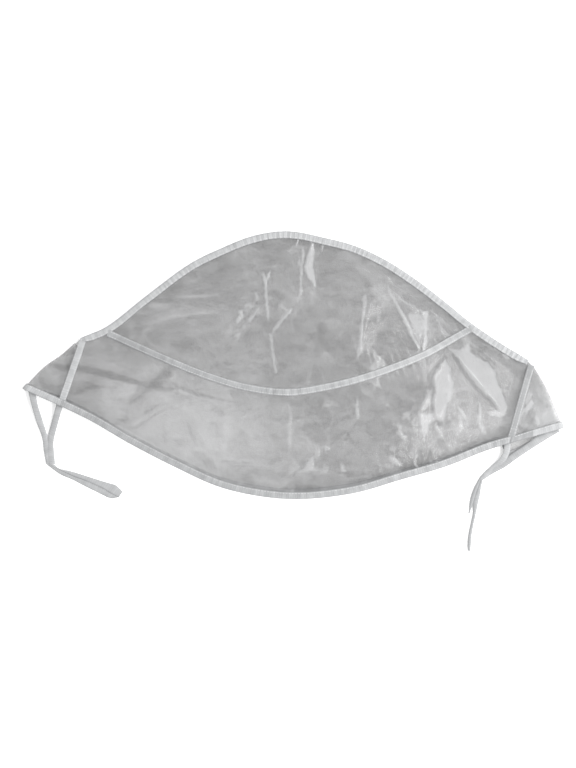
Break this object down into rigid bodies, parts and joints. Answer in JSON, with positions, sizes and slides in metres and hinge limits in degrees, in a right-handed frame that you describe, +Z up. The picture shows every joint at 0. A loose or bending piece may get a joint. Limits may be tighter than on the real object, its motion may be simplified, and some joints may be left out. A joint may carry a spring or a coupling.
{
  "type": "rain bonnet",
  "caption": "Clear film rain bonnet laid flat, with a crown panel, a visor panel, folded side gussets, taped seams and hems, and a tie loop at each side.",
  "frame": {"origin": "middle of the bonnet's outline on the surface it lies on, ties included", "axes": "+X across from the left tip to the right tip as seen from above, +Y from the front hem to the crown, +Z up from the surface"},
  "size_m": [0.4604, 0.2714, 0.0349],
  "materials": {
    "film": "clear, slightly smoky, glossy, creased",
    "tape": "white binding tape, satin",
    "tie": "white tape, satin"
  },
  "bodies": {
    "root": {"crown_panel": "film", "visor_panel": "film", "back_panel": "film", "crown_seam_tape": "tape", "visor_seam_tape": "tape", "side_seam_tape_left": "tape", "side_seam_tape_right": "tape", "front_hem_tape": "tape", "back_hem_tape": "tape", "tie_left": "tie", "tie_right": "tie"}
  },
  "joints": []
}
